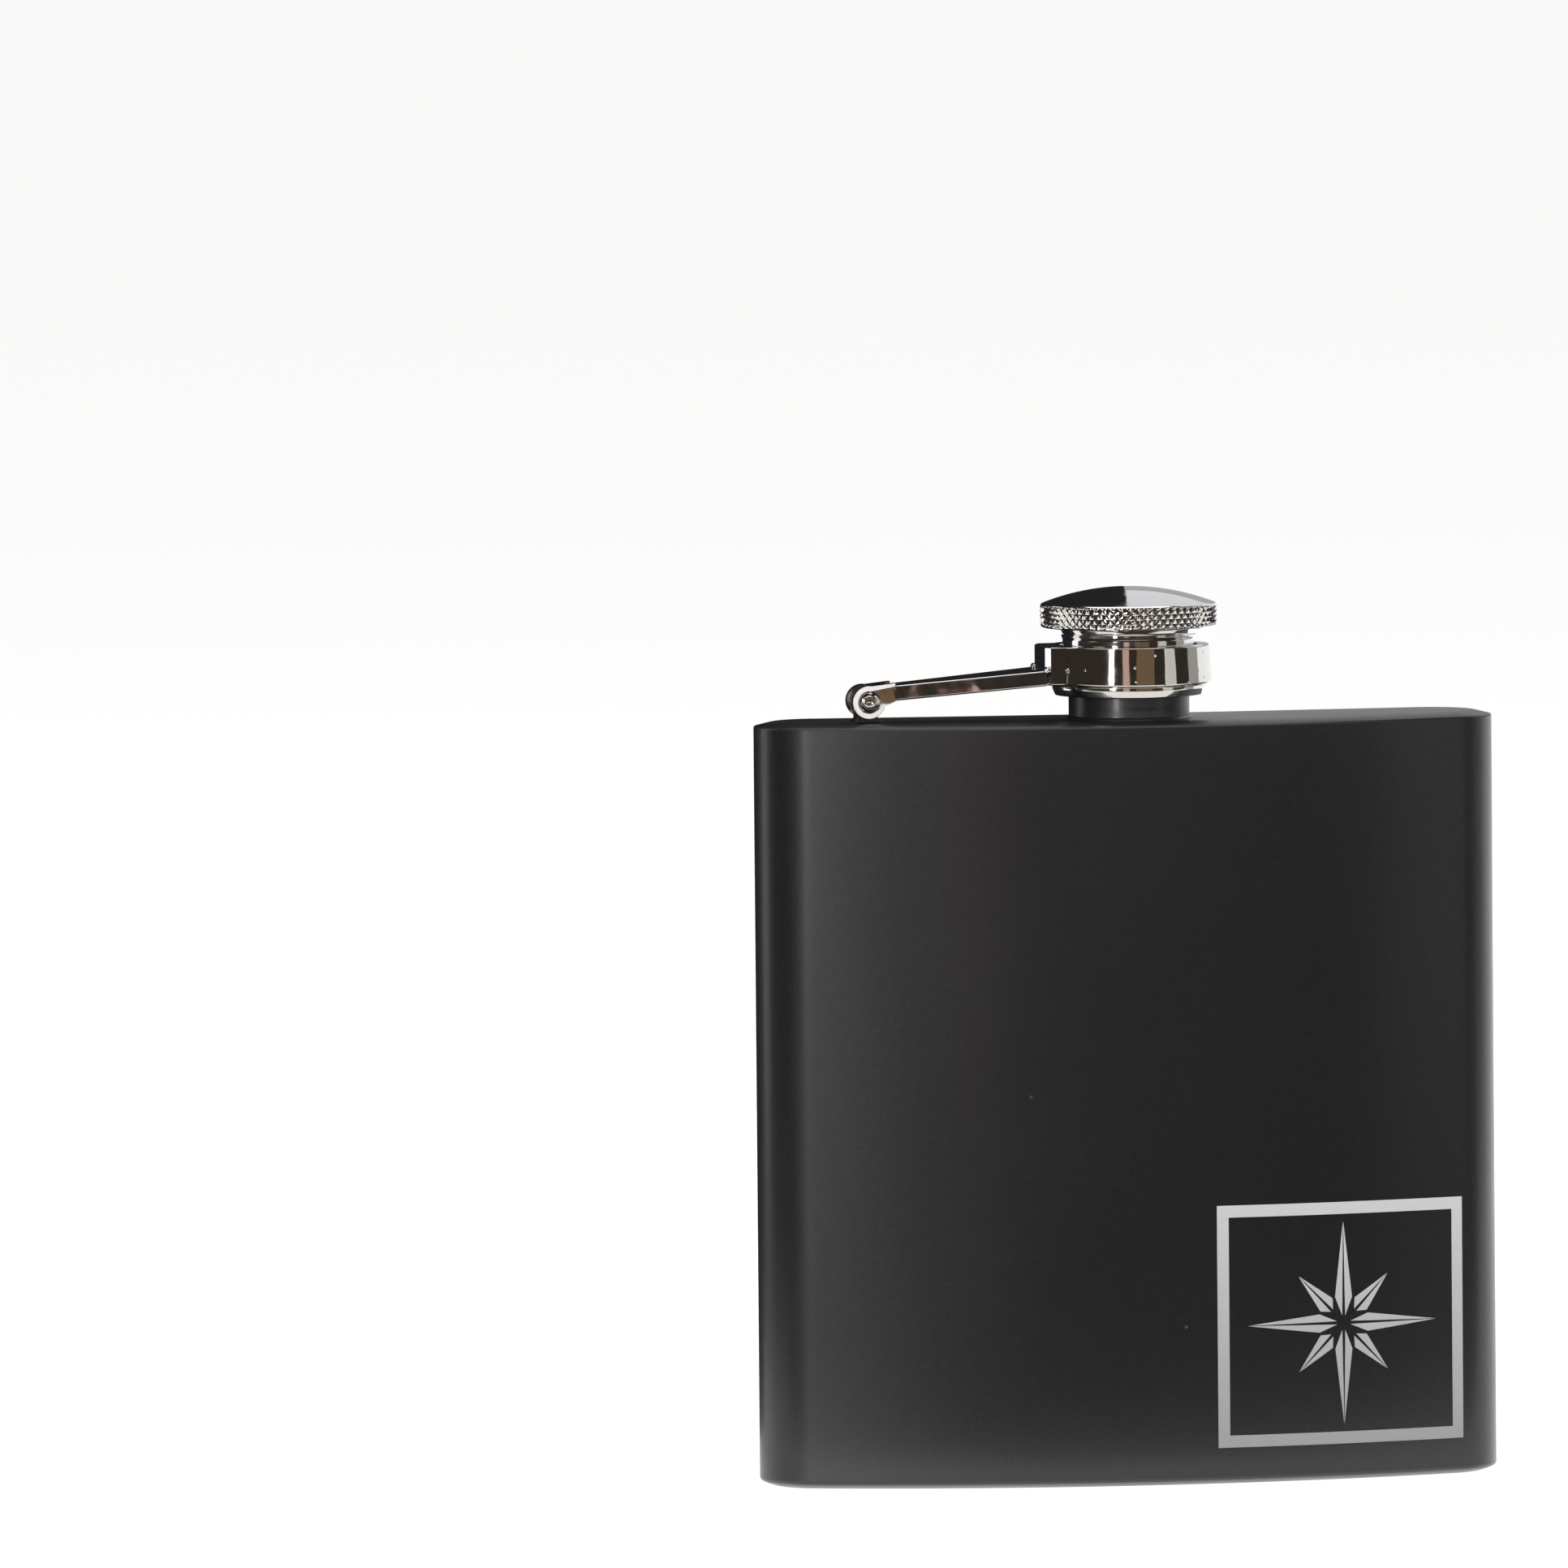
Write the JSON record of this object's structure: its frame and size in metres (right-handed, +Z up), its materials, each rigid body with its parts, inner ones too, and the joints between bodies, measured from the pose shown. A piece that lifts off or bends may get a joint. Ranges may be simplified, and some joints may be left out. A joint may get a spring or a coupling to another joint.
{
  "type": "hip flask",
  "caption": "Curved pocket hip flask in matte black steel with a hinged lever arm, collar ring and knurled screw cap.",
  "frame": {"origin": "middle of the flat base, on the surface the flask stands on", "axes": "+Z up through the neck side; -Y is the curved front with the emblem; +X is to the right seen from the front; the hinge stands at -X"},
  "size_m": [0.093, 0.0231, 0.1113],
  "materials": {
    "body_coat": "matte black powder coat on stainless steel, fine grain, laser-marked emblem on the front",
    "shoulder_coat": "matte black powder coat on stainless steel",
    "base_coat": "matte black powder coat on stainless steel",
    "neck_coat": "black powder coat on the stub, bare stainless thread and bore",
    "bracket_coat": "black powder coat on steel",
    "pin_chrome": "bright plated steel rivet",
    "arm_chrome": "bright plated pressed steel",
    "ring_chrome": "bright plated steel with faint pitting",
    "head_chrome": "bright plated steel, diamond knurled rim",
    "sleeve_chrome": "bright plated turned steel",
    "flange_chrome": "bright plated turned steel",
    "insert_nylon": "pale moulded nylon",
    "seal_silicone": "translucent silicone"
  },
  "bodies": {
    "flask": {"body_wall": "body_coat", "shoulder_plate": "shoulder_coat", "base_plate": "base_coat", "neck_tube": "neck_coat", "hinge_bracket": "bracket_coat", "hinge_pin": "pin_chrome"},
    "collar arm": {"lever_arm": "arm_chrome", "collar_ring": "ring_chrome"},
    "cap seal": {"seal_gasket": "seal_silicone"},
    "cap": {"cap_shell": "head_chrome", "cap_sleeve": "sleeve_chrome", "retaining_flange": "flange_chrome", "thread_insert": "insert_nylon"}
  },
  "joints": [
    {"name": "arm hinge", "type": "hinge", "parent": "flask", "child": "collar arm", "pos_m": [-0.0332, -0.00056, 0.0976], "axis": [0, -1, 0], "range_deg": [0, 165]},
    {"name": "cap rise", "type": "slide", "parent": "collar arm", "child": "cap seal", "axis": [0, 0, 1], "range_m": [-0.00201, 0]},
    {"name": "cap turn", "type": "hinge", "parent": "cap seal", "child": "cap", "pos_m": [0, -0.00056, 0.1063], "axis": [0, 0, 1], "range_deg": [-480, 0]}
  ],
  "couplings": [
    {"joint": "cap rise", "follows": "cap turn", "m_per_rad": 0.00023873}
  ]
}
